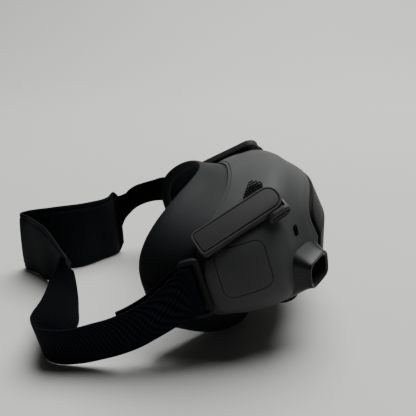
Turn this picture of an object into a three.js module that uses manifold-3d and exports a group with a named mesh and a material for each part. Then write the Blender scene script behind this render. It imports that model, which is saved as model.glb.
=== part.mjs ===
// Head-worn video goggles with folding antennas, a padded face mask and an elastic headband.
// Millimetres, +Z up, -Y the way the wearer looks, -X the wearer's right.
// The goggles are modelled upright in their own frame, then tipped front-up onto the mask's cheeks.
import * as THREE from "three";
import { mergeVertices } from "three/addons/utils/BufferGeometryUtils.js";
import Module from "manifold-3d";

const wasm = await Module();
wasm.setup();

// ---- driving dimensions ----
const GAP = 0.3; // between touching pieces
const PITCH = THREE.MathUtils.degToRad(17); // front-up tip as it rests on the cheeks
const REST = { y: -3, z: 46 }; // where the upright frame's origin comes to rest
const WALL = 2; // moulded shell thickness
const RING = 56; // points round a shell section
const REACH = 76; // half width at which a section's bend is stated

// Shell sections, rear to front. y is at the centre line, bend is how far the sides lie behind it,
// w the half width, top and low the heights above and below the axis, n the squareness,
// notch the nose arch, lean how much of the front's two-way slope the section takes.
const HOUSING = [
  { y: -21, bend: 24.2, w: 76.3, top: 31.8, low: 34.5, n: 3, up: 2.35, notch: 14, curl: 2.4 },
  { y: -27, bend: 18, w: 77.4, top: 32.6, low: 36, n: 3, up: 2.45, notch: 10 },
  { y: -36, bend: 15, w: 76.5, top: 33, low: 36.5, n: 2.9, up: 2.55, notch: 3 },
  { y: -45, bend: 15, w: 72, top: 31.8, low: 36, n: 2.8, up: 2.7, notch: 0 },
  { y: -52, bend: 18, w: 65, top: 28.4, low: 35, n: 2.7, notch: 0, lean: 0.1 },
  { y: -56.5, bend: 21, w: 58.5, top: 24.6, low: 33.5, n: 2.7, notch: 0, lean: 0.3 },
  { y: -60.5, bend: 24, w: 53.5, top: 21.6, low: 31.5, n: 2.8, notch: 0, lean: 0.6 },
];
const BEZEL = [
  { y: -60.9, bend: 24.2, w: 53, top: 21.2, low: 31, n: 2.8, notch: 0, lean: 0.6 },
  { y: -63.8, bend: 26.5, w: 49.6, top: 18.8, low: 29.5, n: 3, notch: 0, lean: 0.8 },
  { y: -65.8, bend: 28.5, w: 46.8, top: 16.8, low: 28, n: 3.2, notch: 0, lean: 1 },
];
const PLATE = { y: -65.8, bend: 28.5, w: 43.7, top: 14, low: 25.4, n: 3.2, notch: 0, lean: 1 };
const PLATE_THICK = 1.8;
// The whole body with its bezel, run on past the front, to trim what stands on it.
const BODY = [...HOUSING, ...BEZEL.slice(1), { ...BEZEL.at(-1), y: -76 }];
const SLOPE = { crease: -5, above: 0.15, below: 0.27 }; // the front leans back above and below a crease

const FRAME = [
  { y: -20.7, bend: 24.4, w: 75.2, top: 31.6, low: 34.8, n: 3, up: 2.35, notch: 14, curl: 2.4 },
  { y: -18.9, bend: 30, w: 74.6, top: 31.4, low: 35, n: 3, up: 2.35, notch: 15, curl: 2.5 },
];
// The mask's outer skin from its frame to its rolled lip; droop moves the cheeks back.
const MASK_SKIN = [
  { y: -18.5, bend: 30, w: 73.2, top: 30.6, low: 36, n: 2.8, up: 2.35, notch: 16, droop: 0, curl: 2.5 },
  { y: -15.5, bend: 33, w: 72.8, top: 32.6, low: 44, n: 2.5, up: 2.4, notch: 18, droop: 1, curl: 2.3 },
  { y: -11, bend: 39.5, w: 71.2, top: 35, low: 53.2, n: 2.4, up: 2.6, notch: 25, droop: 2 },
  { y: -6, bend: 49, w: 68, top: 38.4, low: 48.5, n: 2.4, up: 2.7, notch: 27, droop: 4 },
  { y: -3.6, bend: 57, w: 64, top: 39.2, low: 45, n: 2.5, up: 2.8, notch: 28, droop: 5 },
  { y: -4.4, bend: 57, w: 61, top: 34.8, low: 42, n: 2.5, up: 2.8, notch: 28, droop: 5 },
];
const MASK_WALL = 4;

const EYE = { x: 32, z: -1, travel: 4, focus: 2 }; // half the eye distance, and how far it adjusts
const BARREL = { r: 21, bore: 18.8, front: -44, back: -14 };
const KNOB = { r: 7.5, y: -31, top: -37.6, bottom: -41.8, stem: 2.2 };
const SIDES = [["right", -1], ["left", 1]];

// Antenna blade lying back along the shoulder, hinged across its front end.
const ANTENNA = {
  pivot: [59.5, -40.6, 28.6],
  along: [0.28, 0.94, -0.2],
  out: [0.68, -0.03, 0.73],
  length: 45.5,
  width: 13.8,
  corner: 6.2,
  heel: 3,
  thick: 4.6,
  pinR: 1.1,
};
const KNUCKLE = { r: 4.2, length: 2.4, back: 2.4 };

const TOUCH = { y: -15.6, z: 2.3, wide: 24.5, tall: 24, r: 4.5 };
const OUTLET = {
  base: [51.5, -42, -14.4],
  aim: [0.62, -0.76, -0.17],
  wide: 19,
  tall: 15.5,
  r: 5.5,
  length: 12.5,
  flare: 16,
  wall: 1.8,
};
const VENT = { at: [46.5, -30, 30], along: [0.83, 0.43, -0.37], length: 15, width: 8 };
const BRACKET = { x: 76.1, thick: 2.9, y0: 3.7, y1: 14.2, z0: -15.2, z1: 16.2, arm: 2.5 };
const WEBBING = { low: -12, high: 13, thick: 1.6 };
const PAD_THICK = 3;
const RAIL = { r: 1.5, reach: 49, y: -33, high: 23.6, low: -25.4 };
const FAN = { x: 18, z: -1, y: -55.6, depth: 5.2, size: 26 };

// ---- geometry helpers ----
const power = (v, n) => Math.sign(v) * Math.abs(v) ** (2 / n);
const smooth = (v) => THREE.MathUtils.smoothstep(v, 0, 1);

// One section of the goggles as a closed ring of points, from the top round by the wearer's right.
function ring(s, count = RING) {
  return Array.from({ length: count }, (_, i) => {
    const a = (2 * Math.PI * i) / count;
    const n = Math.cos(a) > 0 ? (s.up ?? s.n) : s.n;
    const x = -s.w * power(Math.sin(a), n);
    const c = power(Math.cos(a), n);
    const arch = c < 0 ? s.notch * Math.exp(-((x / 15) ** 2)) : 0;
    const z = (c > 0 ? s.top : s.low) * c + arch;
    const rise = z - SLOPE.crease;
    const slope = (s.lean ?? 0) * (rise > 0 ? SLOPE.above * rise : -SLOPE.below * rise);
    const back = (s.droop ?? 0) * smooth(-z / 15) * (x / 60) ** 2;
    return new THREE.Vector3(x, s.y + s.bend * Math.abs(x / REACH) ** (s.curl ?? 2) + slope + back, z);
  });
}

// The same section pulled in by a wall thickness, and moved along Y.
function inset(s, wall, dy = 0) {
  return { ...s, w: s.w - wall, top: s.top - wall, low: s.low - wall, y: s.y + dy };
}

function surface(points, faces) {
  const g = new THREE.BufferGeometry();
  g.setAttribute("position", new THREE.Float32BufferAttribute(points.flatMap((p) => p.toArray()), 3));
  g.setIndex(faces);
  return turnedOut(g);
}

function turnedOut(g) {
  const p = g.getAttribute("position");
  const [a, b, c] = [new THREE.Vector3(), new THREE.Vector3(), new THREE.Vector3()];
  let volume = 0;
  for (let i = 0; i < g.index.count; i += 3) {
    a.fromBufferAttribute(p, g.index.getX(i));
    b.fromBufferAttribute(p, g.index.getX(i + 1));
    c.fromBufferAttribute(p, g.index.getX(i + 2));
    volume += a.dot(b.cross(c));
  }
  if (volume < 0) g.setIndex(Array.from(g.index.array).reverse());
  g.computeVertexNormals();
  return g;
}

function bands(rings, closed) {
  const n = rings[0].length;
  const faces = [];
  const last = closed ? rings.length : rings.length - 1;
  for (let j = 0; j < last; j++) {
    const [lower, upper] = [j * n, ((j + 1) % rings.length) * n];
    for (let i = 0; i < n; i++) {
      const k = (i + 1) % n;
      faces.push(lower + i, upper + i, upper + k, lower + i, upper + k, lower + k);
    }
  }
  return faces;
}

// A closed hoop: the rings run out along one skin and back along the other.
const hoop = (rings) => surface(rings.flat(), bands(rings, true));

// A solid through the rings, its two ends closed by fans.
function loft(rings) {
  const n = rings[0].length;
  const faces = bands(rings, false);
  const points = rings.flat();
  const middle = (r) => r.reduce((m, p) => m.add(p), new THREE.Vector3()).divideScalar(n);
  const first = points.push(middle(rings[0])) - 1;
  const end = points.push(middle(rings.at(-1))) - 1;
  const top = (rings.length - 1) * n;
  for (let i = 0; i < n; i++) {
    const k = (i + 1) % n;
    faces.push(first, i, k, end, top + k, top + i);
  }
  return surface(points, faces);
}

function solid(geometry) {
  const bare = geometry.clone();
  bare.deleteAttribute("normal");
  bare.deleteAttribute("uv");
  const g = mergeVertices(bare, 1e-4);
  const triVerts = new Uint32Array(g.index.array);
  return new wasm.Manifold(
    new wasm.Mesh({ numProp: 3, vertProperties: g.getAttribute("position").array, triVerts }),
  );
}

function geometryOf(manifold) {
  const m = manifold.getMesh();
  const g = new THREE.BufferGeometry();
  g.setAttribute("position", new THREE.BufferAttribute(new Float32Array(m.vertProperties), 3));
  g.setIndex(new THREE.BufferAttribute(new Uint32Array(m.triVerts), 1));
  g.computeVertexNormals();
  return g;
}

const cut = (body, ...tools) =>
  geometryOf(tools.reduce((m, tool) => m.subtract(solid(tool)), solid(body)));
const join = (...parts) =>
  geometryOf(parts.slice(1).reduce((m, part) => m.add(solid(part)), solid(parts[0])));

const box = (x, y, z, at) => new THREE.BoxGeometry(x, y, z).translate(...at);

// A cylinder between two heights along an axis through a point.
function rod(r, from, to, at, axis, sides = 24) {
  const g = new THREE.CylinderGeometry(r, r, to - from, sides).translate(0, (from + to) / 2, 0);
  const turn = new THREE.Quaternion().setFromUnitVectors(
    new THREE.Vector3(0, 1, 0),
    new THREE.Vector3(...axis).normalize(),
  );
  return g.applyQuaternion(turn).translate(...at);
}

function roundedShape(wide, tall, r, far = r) {
  const [x, y] = [wide / 2, tall / 2];
  return new THREE.Shape()
    .moveTo(-x + r, -y)
    .lineTo(x - r, -y)
    .absarc(x - r, -y + r, r, -Math.PI / 2, 0)
    .lineTo(x, y - far)
    .absarc(x - far, y - far, far, 0, Math.PI / 2)
    .lineTo(-x + far, y)
    .absarc(-x + far, y - far, far, Math.PI / 2, Math.PI)
    .lineTo(-x, -y + r)
    .absarc(-x + r, -y + r, r, Math.PI, 1.5 * Math.PI);
}

// The outline of a rounded rectangle with the same number of points whatever its size.
function roundedRing(wide, tall, r, steps = 5) {
  return [[1, 1], [-1, 1], [-1, -1], [1, -1]].flatMap(([sx, sy], corner) =>
    Array.from({ length: steps + 1 }, (_, i) => {
      const a = (Math.PI / 2) * (corner + i / steps);
      return [sx * (wide / 2 - r) + r * Math.cos(a), sy * (tall / 2 - r) + r * Math.sin(a)];
    }),
  );
}

// A shape pushed out along Z by a depth, from a start height.
function pushed(shape, depth, from = 0, curveSegments = 5) {
  const made = new THREE.ExtrudeGeometry(shape, { depth, bevelEnabled: false, curveSegments });
  return made.translate(0, 0, from);
}

// The frame whose Z points along `out` and whose Y points as near `up` as it can.
function frameAt(at, out, up) {
  const z = new THREE.Vector3(...out).normalize();
  const x = new THREE.Vector3(...up).cross(z).normalize();
  const y = z.clone().cross(x);
  return new THREE.Matrix4().makeBasis(x, y, z).setPosition(...at);
}

const mirrored = (g, side) => {
  if (side < 0) return g.clone();
  const flip = g.index ? g.clone() : mergeVertices(g.clone());
  return turnedOut(flip.scale(-1, 1, 1));
};

// ---- materials ----
const plastic = (color, roughness, metalness = 0) =>
  new THREE.MeshStandardMaterial({ color, roughness, metalness });
const shellGrey = plastic(0x47494b, 0.5);
const frameGrey = plastic(0x2c2d2f, 0.55);
const maskBlack = plastic(0x1d1e20, 0.75);
const antennaGrey = plastic(0x3a3a3b, 0.55);
const softBlack = plastic(0x141415, 0.8);
const glossBlack = plastic(0x050506, 0.08);
const webbingBlack = plastic(0x151617, 0.95);
const glass = plastic(0x9fb4c4, 0.05);
const boardGreen = plastic(0x16402a, 0.6);
const steel = plastic(0x9a9c9e, 0.3, 1);
const alloy = plastic(0x8b8d90, 0.4, 1);

const upright = new THREE.Group(); // the goggles in their own frame
const band = new THREE.Group(); // the headband, already in the resting frame

function add(group, name, geometry, material) {
  const mesh = new THREE.Mesh(geometry, material);
  mesh.name = name;
  group.add(mesh);
  return mesh;
}

// Each pair of pieces is drawn on the wearer's right, then mirrored for the left.
function addPair(name, geometry, material) {
  SIDES.forEach(([side, sign]) => add(upright, `${name}_${side}`, mirrored(geometry, sign), material));
}

// ---- shells ----
function shell(sections, wall) {
  const inner = sections.map((s) => ring(inset(s, wall))).reverse();
  return hoop([...sections.map((s) => ring(s)), ...inner]);
}

const filled = (sections, grow = 0) => loft(sections.map((s) => ring(inset(s, -grow, -grow / 2))));

// Smaller and smaller copies of a section, which close it with a face that keeps its curve.
const shrinking = (s) =>
  [1, 0.75, 0.5, 0.25, 0.06].map((k) => ring({ ...s, w: s.w * k, top: s.top * k, low: s.low * k }));

function outletFrame() {
  const [x, y, z] = OUTLET.base;
  const [ax, ay, az] = OUTLET.aim;
  return frameAt([-x, y, z], [-ax, ay, az], [0, 0, 1]);
}

function ventFrame() {
  const [x, y, z] = VENT.at;
  const [ax, ay, az] = VENT.along;
  return frameAt([-x, y, z], [-0.5, -0.12, 0.86], [-ax, ay, az]);
}

// The touch panel's outline driven through the right side wall.
function touchBlock(grow) {
  const shape = roundedShape(TOUCH.wide + grow, TOUCH.tall + grow, TOUCH.r + grow / 2);
  return pushed(shape, 14, -9).applyMatrix4(frameAt([-77, TOUCH.y, TOUCH.z], [-1, 0, 0], [0, 0, 1]));
}

// The layer of the housing's wall between two depths, inside a block.
function skinPatch(block, from, to) {
  const outside = solid(filled(HOUSING, -from));
  const inside = solid(filled(HOUSING, -to));
  return geometryOf(solid(block).intersect(outside).subtract(inside));
}

function housing() {
  const reach = EYE.travel + KNOB.stem + 0.7;
  const knobSlot = pushed(roundedShape(2 * reach, 2 * KNOB.stem + 1.4, KNOB.stem + 0.69), 14, -42)
    .translate(-EYE.x, KNOB.y, 0);
  const mouth = roundedShape(OUTLET.wide - 5, OUTLET.tall - 5, 4);
  const outlet = pushed(mouth, 20, -6).applyMatrix4(outletFrame());
  const vent = pushed(roundedShape(VENT.width, VENT.length, 3), 14, -7).applyMatrix4(ventFrame());
  const tools = [knobSlot, outlet, vent].flatMap((g) => SIDES.map(([, side]) => mirrored(g, side)));
  const port = box(10, 10.4, 4.6, [76, -12, -9]);
  const jack = rod(3.1, 70, 80, [0, -22, 3], [1, 0, 0], 16);
  const button = rod(3.4, -42, -28, [0, -46, 0], [0, 0, 1], 16);
  const slit = box(12, 2.4, 5.6, [-54, -45.2, 6.5]);
  const recess = skinPatch(touchBlock(0.7), -1, 1.05);
  const seats = SIDES.map(([, side]) => mirrored(skinPatch(antennaBlock(0.8), -1, 1), side));
  return cut(shell(HOUSING, WALL), ...tools, port, jack, button, slit, recess, ...seats);
}

function frontPlate() {
  const front = { ...inset(PLATE, 1), y: PLATE.y - PLATE_THICK };
  const edge = ring({ ...PLATE, y: PLATE.y - 1.2 });
  return loft([...shrinking(PLATE).reverse(), edge, ...shrinking(front)]);
}

function buildShells() {
  add(upright, "main_housing", housing(), shellGrey);
  const lip = { ...inset(BEZEL.at(-1), 2.4), y: BEZEL.at(-1).y - 0.4 };
  const behind = [inset(BEZEL[1], WALL + 1), inset(BEZEL[0], WALL)];
  add(upright, "front_bezel", hoop([...BEZEL, lip, ...behind].map((s) => ring(s))), shellGrey);
  add(upright, "front_plate", frontPlate(), glossBlack);
  add(upright, "mask_frame", shell(FRAME, 3.6), frameGrey);
  add(upright, "touch_panel", skinPatch(touchBlock(0), 0, 0.7), frameGrey);
}

// ---- face mask ----
function buildMask() {
  const lining = [
    inset(MASK_SKIN[4], 5, -1.6),
    inset(MASK_SKIN[3], 4.8, -1),
    inset(MASK_SKIN[2], MASK_WALL, 0.3),
    inset(MASK_SKIN[1], MASK_WALL, 0.3),
    inset(MASK_SKIN[0], MASK_WALL),
  ];
  add(upright, "face_mask", hoop([...MASK_SKIN, ...lining].map((s) => ring(s))), maskBlack);
  const flap = [-12, -6, 0, 6, 12].map((x) => {
    const z = -10 - 0.055 * x * x;
    const edge = (y, dz) => new THREE.Vector3(x, y, z + dz);
    return [edge(-22, 0), edge(-12, 1.6), edge(-12, 2.6), edge(-22, 1)];
  });
  add(upright, "nose_flap", loft(flap), softBlack);
}

// ---- outlets and vents ----
function buildOutlets() {
  const { wide, tall, r, length, flare, wall } = OUTLET;
  const rings = [0, 0.55, 1].map((t) => {
    const grow = flare * (1 - t) ** 1.4;
    const outline = roundedRing(wide + grow, tall + 1.2 * grow, r + grow / 3);
    return outline.map(([x, y]) => new THREE.Vector3(x, y, length * t).applyMatrix4(outletFrame()));
  });
  const mouth = (less, depth, from) =>
    pushed(roundedShape(wide - 2 * wall - less, tall - 2 * wall - less, r - wall), depth, from)
      .applyMatrix4(outletFrame());
  const body = cut(loft(rings), filled(BODY, 2 * GAP), mouth(0, 9, length - 4));
  addPair("outlet_shell", body, softBlack);
  addPair("outlet_mesh", mouth(0.8, 0.8, length - 3.4), softBlack);
  const plate = roundedShape(VENT.width - 0.8, VENT.length - 0.8, 2.6);
  addPair("vent_mesh", pushed(plate, 0.8, -1.2).applyMatrix4(ventFrame()), softBlack);
}

// ---- antennas ----
function antennaFrame() {
  const [x, y, z] = ANTENNA.pivot;
  const [ux, uy, uz] = ANTENNA.out;
  const [ax, ay, az] = ANTENNA.along;
  return frameAt([-x, y, z], [-ux, uy, uz], [-ax, ay, az]);
}

// The space the folded blade fills, for its seat in the shoulder.
function antennaBlock(grow) {
  const { length, width, thick, corner, heel } = ANTENNA;
  const [wide, tall] = [width + grow, length + thick / 2 + grow];
  const shape = roundedShape(wide, tall, corner + grow / 2, heel + grow / 2);
  const block = pushed(shape, 12, -thick / 2 - grow / 2).translate(0, length / 2, 0);
  return block.applyMatrix4(antennaFrame());
}

// Local frame: Z outward from the shoulder, Y back along the blade, X across it; the pin runs along X.
function buildAntennas() {
  const { length, width, thick, corner, heel, pinR } = ANTENNA;
  const frame = antennaFrame();
  const plan = (less, shorter) =>
    roundedShape(width - less, length - shorter, corner - less / 2.2, heel - less / 2.2);
  const blade = pushed(plan(0, -thick / 2), thick, -thick / 2).translate(0, length / 2, 0);
  const root = rod(thick / 2, -width / 2 + 4, width / 2 - 4, [0, 0, 0], [1, 0, 0]);
  const pinHole = rod(pinR + GAP, -width, 0, [0, 0, 0], [1, 0, 0], 16);
  const face = pushed(plan(2.4, 0.6), 2, thick / 2 - 0.6).translate(0, length / 2, 0);
  const cover = pushed(plan(3, 1.2), 0.7, thick / 2 - 0.3).translate(0, length / 2, 0);
  addPair("antenna", cut(join(blade, root), pinHole, face).applyMatrix4(frame), antennaGrey);
  addPair("antenna_cover", cover.applyMatrix4(frame), antennaGrey);
  const [inner, outer] = [-width / 2 - 0.4, -width / 2 - 0.4 - KNUCKLE.length];
  const disc = rod(KNUCKLE.r, outer, inner, [0, KNUCKLE.back, -1.5], [1, 0, 0]);
  const middle = [(inner + outer) / 2, KNUCKLE.back + KNUCKLE.r / 2 + 1, -1.5];
  const heelBlock = box(inner - outer, KNUCKLE.r, 2 * KNUCKLE.r - 1, middle);
  const boss = join(disc, disc.clone().translate(0, KNUCKLE.r, 0), heelBlock);
  const bore = rod(pinR + GAP, outer + 1, inner + 1, [0, 0, 0], [1, 0, 0], 16);
  const knuckle = cut(cut(boss, bore).applyMatrix4(frame), filled(HOUSING, GAP + 0.1));
  addPair("antenna_knuckle", knuckle, softBlack);
  const pin = rod(pinR, outer + 1.3, -GAP, [0, 0, 0], [1, 0, 0], 16);
  addPair("antenna_pin", pin.applyMatrix4(frame), steel);
}

// ---- optics ----
function stadium(reach, r) {
  return new THREE.Shape()
    .moveTo(-reach, -r)
    .lineTo(reach, -r)
    .absarc(reach, 0, r, -Math.PI / 2, Math.PI / 2)
    .lineTo(-reach, r)
    .absarc(-reach, 0, r, Math.PI / 2, 1.5 * Math.PI);
}

// A tube of revolution about the optical axis of the wearer's right eye.
function turned(profile, sides = 40) {
  const points = profile.map(([r, y]) => new THREE.Vector2(r, y));
  return new THREE.LatheGeometry(points, sides).translate(-EYE.x, 0, EYE.z);
}

function buildOptics() {
  const { r, bore, front, back } = BARREL;
  const wall = [[bore, front], [r, front], [r, back], [bore, back], [bore, front]];
  addPair("lens_barrel", turned(wall), softBlack);
  const cell = [[16.6, -21], [bore - GAP, -21], [bore - GAP, -15], [17.4, -15], [16.6, -17], [16.6, -21]];
  addPair("focus_ring", turned(cell), frameGrey);
  const lens = [[0, -21.6], [8, -21], [16.2, -19], [16.2, -18.4], [8, -16.6], [0, -16]];
  addPair("eyepiece_lens", turned(lens), glass);
  const display = box(26, 3.4, 24, [-EYE.x, front - 2.3, EYE.z]);
  addPair("display", display, boardGreen);
  [["upper", RAIL.high, -0.6], ["lower", RAIL.low, 0.6]].forEach(([level, z, toBarrel]) => {
    const shoe = box(9, 9, 5.4, [-EYE.x, RAIL.y, z + toBarrel]);
    const guide = rod(RAIL.r + GAP, -20, 20, [-EYE.x, RAIL.y, z], [1, 0, 0], 16);
    addPair(`rail_shoe_${level}`, cut(shoe, guide), softBlack);
    const rail = rod(RAIL.r, -RAIL.reach, RAIL.reach, [0, RAIL.y, z], [1, 0, 0], 16);
    add(upright, `rail_${level}`, rail, steel);
  });
  const outline = ring({ y: 0, bend: 0, w: 67, top: 27, low: 28, n: 3, up: 2.4, notch: 9 }, 40);
  const panel = new THREE.Shape(outline.map((p) => new THREE.Vector2(p.x, p.z)));
  [-1, 1].forEach((side) => {
    const middle = new THREE.Vector2(side * EYE.x, EYE.z);
    const hole = stadium(EYE.travel, r + 0.8).getPoints(8).map((p) => p.add(middle));
    panel.holes.push(new THREE.Path(hole.reverse()));
  });
  const upward = new THREE.Matrix4().makeRotationX(Math.PI / 2);
  add(upright, "eye_panel", pushed(panel, 1.6).applyMatrix4(upward).translate(0, -22.6, 0), softBlack);
}

// The adjusters under the housing: each knob slides with its barrel and turns to focus it.
function buildKnobs() {
  const { r, y, top, bottom, stem } = KNOB;
  const grips = Array.from({ length: 12 }, (_, i) => {
    const a = (Math.PI * i) / 6;
    return rod(0.9, bottom - 1, top + 1, [-EYE.x + r * Math.cos(a), y + r * Math.sin(a), 0], [0, 0, 1], 8);
  });
  const cap = rod(r, bottom, top, [-EYE.x, y, 0], [0, 0, 1], 32);
  const shaft = rod(stem, top - 1, -29.4, [-EYE.x, y, 0], [0, 0, 1], 16);
  addPair("focus_knob", join(cut(cap, ...grips), shaft), softBlack);
}

// ---- electronics ----
function buildElectronics() {
  add(upright, "main_board", box(74, 1.2, 32, [0, -49.4, -4]), boardGreen);
  const fins = Array.from({ length: 7 }, (_, i) => box(1.4, 3.4, 24, [-32 + 4.4 * i, -53.6, -2]));
  add(upright, "heat_sink", join(box(30, 1.6, 24, [-18.8, -51.2, -2]), ...fins), alloy);
  const { x, z, y, depth, size } = FAN;
  const middle = [x, 0, z];
  const duct = rod(size / 2 - 1.6, y - 1, y + depth - 1, middle, [0, 1, 0], 32);
  const post = rod(1, y + 1, y + depth - 0.4, middle, [0, 1, 0], 12);
  const casing = box(size, depth, size, [x, y + depth / 2, z]);
  add(upright, "fan_casing", join(cut(casing, duct), post), softBlack);
  const blades = Array.from({ length: 7 }, (_, i) => {
    const blade = new THREE.BoxGeometry(7.4, 2.6, 0.8).rotateX(0.6).translate(6.4, 0, 0);
    return blade.rotateY((2 * Math.PI * i) / 7).translate(x, y + 2, z);
  });
  const hub = rod(3.6, y + 0.4, y + 3.6, middle, [0, 1, 0], 24);
  const bearing = rod(1.3, y + 0.8, y + 4, middle, [0, 1, 0], 12);
  add(upright, "fan_rotor", cut(join(hub, ...blades), bearing), frameGrey);
  const slot = box(4, 7.4, 1.6, [79, -12, -9]);
  const socket = cut(box(6, 9.4, 3.6, [74.4, -12, -9]), slot.clone().translate(-2.6, 0, 0));
  add(upright, "power_socket", socket, steel);
  const jackHole = rod(1.75, 70, 78, [0, -22, 3], [1, 0, 0], 16);
  const jack = cut(rod(2.8, 68, 76.2, [0, -22, 3], [1, 0, 0], 20), jackHole);
  add(upright, "audio_jack", jack, softBlack);
  add(upright, "link_button", rod(3, -37, -31, [0, -46, 0], [0, 0, 1], 20), softBlack);
  add(upright, "status_light", box(3, 1.6, 4.6, [-55, -45.1, 6.5]), glass);
}

// ---- headband ----
function rested(x, y, z) {
  const tipped = new THREE.Vector3(x, y, z).applyEuler(new THREE.Euler(-PITCH, 0, 0));
  return tipped.add(new THREE.Vector3(0, REST.y, REST.z));
}

// A flat band standing on edge: each station is its lower and its upper edge.
function ribbon(stations, thick) {
  const middles = stations.map(([low, high]) => low.clone().add(high).multiplyScalar(0.5));
  const rings = stations.map(([low, high], i) => {
    const before = middles[Math.max(i - 1, 0)];
    const after = middles[Math.min(i + 1, middles.length - 1)];
    const ahead = after.clone().sub(before).normalize();
    const across = high.clone().sub(low).normalize();
    const side = ahead.cross(across).normalize().multiplyScalar(thick / 2);
    return [low.clone().add(side), high.clone().add(side), high.clone().sub(side), low.clone().sub(side)];
  });
  return loft(rings);
}

// The webbing's turn round the bar of a bracket, from inside it to outside, on one side.
function loopStations(side) {
  const turn = [[75.1, 14.6], [75.1, 11.2], [75.9, 9.1], [77.6, 8.3], [79.4, 9.1], [80.3, 11.2], [80.3, 14]];
  const { low, high } = WEBBING;
  return turn.map(([x, y]) => [rested(side * x, y, low), rested(side * x, y, high)]);
}

const station = ([a, b, c, d, e, f]) => [new THREE.Vector3(a, b, c), new THREE.Vector3(d, e, f)];

const RIGHT_RETURN = [
  [-75.6, 44.3, 7.6, -80.9, 48, 31.5],
  [-76, 34, 12.6, -80.8, 38.8, 36],
  [-76.1, 25, 18.2, -79.5, 30, 41.4],
  [-75.6, 16.6, 24.2, -77, 22.4, 48],
];
const RIGHT_RUN = [
  [-78.7, 23, 18.7, -82.8, 29, 41],
  [-78.3, 34, 11.7, -83, 39, 34.8],
  [-77.7, 44.3, 7, -83, 48, 30.5],
  [-77, 53, 4, -83, 56, 28],
  [-76.5, 62, 1.5, -83, 64, 25.6],
  [-76, 70.5, 0.2, -82.6, 71.5, 24.4],
  [-75, 77, 0, -82, 78, 24.3],
  [-72.5, 81.6, 0, -80, 83, 24],
  [-68, 85.3, 0, -75.5, 87, 23.8],
  [-62, 86, 0, -69, 90, 23.3],
  [-55, 82, 0, -60, 91.5, 22],
  [-48, 77, 0, -50, 93, 19.5],
  [-38, 75.4, 0, -39, 94.3, 17.6],
  [-23, 79, 0, -25, 95.4, 17.6],
  [-10, 82.4, 1.4, -18.6, 95.6, 19.6],
  [-1, 85.4, 6.6, -15, 95, 21],
  [4.4, 88.2, 13, -12.2, 93.8, 22],
  [3.9, 91.2, 13.4, -7.4, 93.4, 25.4],
  [3.2, 92.6, 14, -2.9, 92, 26],
  [4.8, 91.8, 14.7, -1.1, 91.1, 26.4],
  [6.9, 90.2, 15.6, 1, 89.5, 27.4],
];
const LEFT_RUN = [
  [78, 22, 35, 73.4, 26, 57.8],
  [74.4, 32, 38.6, 65, 34.6, 59.4],
  [72, 40, 39.6, 60, 40, 58.8],
  [70.6, 48, 38, 58.8, 46, 57.4],
  [69.8, 55, 34.6, 58.8, 52.4, 55.2],
  [68.6, 60, 30, 60, 57.8, 51.6],
  [67.4, 63, 26.2, 62.4, 61.4, 48],
  [65.9, 65.1, 21, 64.7, 66, 45.2],
];
const LEFT_RETURN = [
  [74.6, 27, 33.4, 69.6, 30, 56],
  [75.4, 18.4, 31.6, 73, 23, 55.4],
];
const PAD = [
  [66.4, 65, 7, 64.6, 66.4, 44.6],
  [65.8, 68.4, 0, 64.6, 70.6, 48.6],
  [60, 70.5, 0, 59.5, 73.5, 46.6],
  [54.8, 74.2, 0, 54.5, 77.5, 46],
  [48.2, 80.3, 0, 49.6, 83.4, 46],
  [41.6, 86.2, 0, 45, 90, 46],
  [37, 92.5, 0, 41.8, 97, 46],
  [34.6, 99.4, 0, 39, 104, 46],
  [34, 108, 0, 37, 111, 45.6],
  [34.8, 117, 0, 35, 118.8, 45.2],
  [37, 125, 0, 32.8, 124.4, 44.8],
  [38, 131.6, 0.4, 29.6, 127.6, 44.2],
  [33.4, 128.6, 0, 26, 121.4, 43.4],
  [26.6, 119.2, 0, 19, 114, 42.4],
  [17, 109.7, 0, 12, 105.9, 40.2],
  [12.4, 101.4, 4.4, 5, 99.4, 36.2],
  [9.6, 95, 9.4, -1.6, 93.6, 31.8],
  [7.8, 89.8, 13.2, -7.6, 88.4, 27.8],
];

// The slot near the end of the pad's tongue that the strap passes through.
const SLOT = {
  at: [1.9, 91.4, 20.5],
  out: [-0.71, 0.535, -0.322],
  up: [-0.5, -0.06, 0.86],
  wide: 3.8,
  tall: 16,
};

function buildHeadband() {
  const { x, thick, y0, y1, z0, z1, arm } = BRACKET;
  const [wide, tall] = [y1 - y0, z1 - z0];
  const outline = roundedShape(wide, tall, 3);
  const opening = roundedShape(wide - 2 * arm, tall - 2 * arm, 1).getPoints(3).reverse();
  outline.holes.push(new THREE.Path(opening));
  const place = frameAt([-x, (y0 + y1) / 2, (z0 + z1) / 2], [-1, 0, 0], [0, 0, 1]);
  addPair("strap_bracket", pushed(outline, thick).applyMatrix4(place), frameGrey);
  const right = [...RIGHT_RETURN.map(station), ...loopStations(-1), ...RIGHT_RUN.map(station)];
  add(band, "strap_right", ribbon(right, WEBBING.thick), webbingBlack);
  const left = [...LEFT_RETURN.map(station), ...loopStations(1), ...LEFT_RUN.map(station)];
  add(band, "strap_left", ribbon(left, WEBBING.thick), webbingBlack);
  const slot = box(SLOT.wide, SLOT.tall, 12, [0, 0, 0]).applyMatrix4(frameAt(SLOT.at, SLOT.out, SLOT.up));
  add(band, "rear_pad", cut(ribbon(PAD.map(station), PAD_THICK), slot), webbingBlack);
}

buildShells();
buildMask();
buildOutlets();
buildAntennas();
buildOptics();
buildKnobs();
buildElectronics();
buildHeadband();

upright.rotation.x = -PITCH;
upright.position.set(0, REST.y, REST.z);

const goggles = new THREE.Group();
goggles.add(upright, band);
goggles.updateMatrixWorld(true);

// The origin is under the middle of the whole object.
const bounds = new THREE.Box3().setFromObject(goggles, true);
const middle = bounds.getCenter(new THREE.Vector3());
const shift = new THREE.Vector3(-middle.x, -middle.y, -bounds.min.z);
goggles.children.forEach((part) => part.position.add(shift));

export default goggles;
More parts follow.
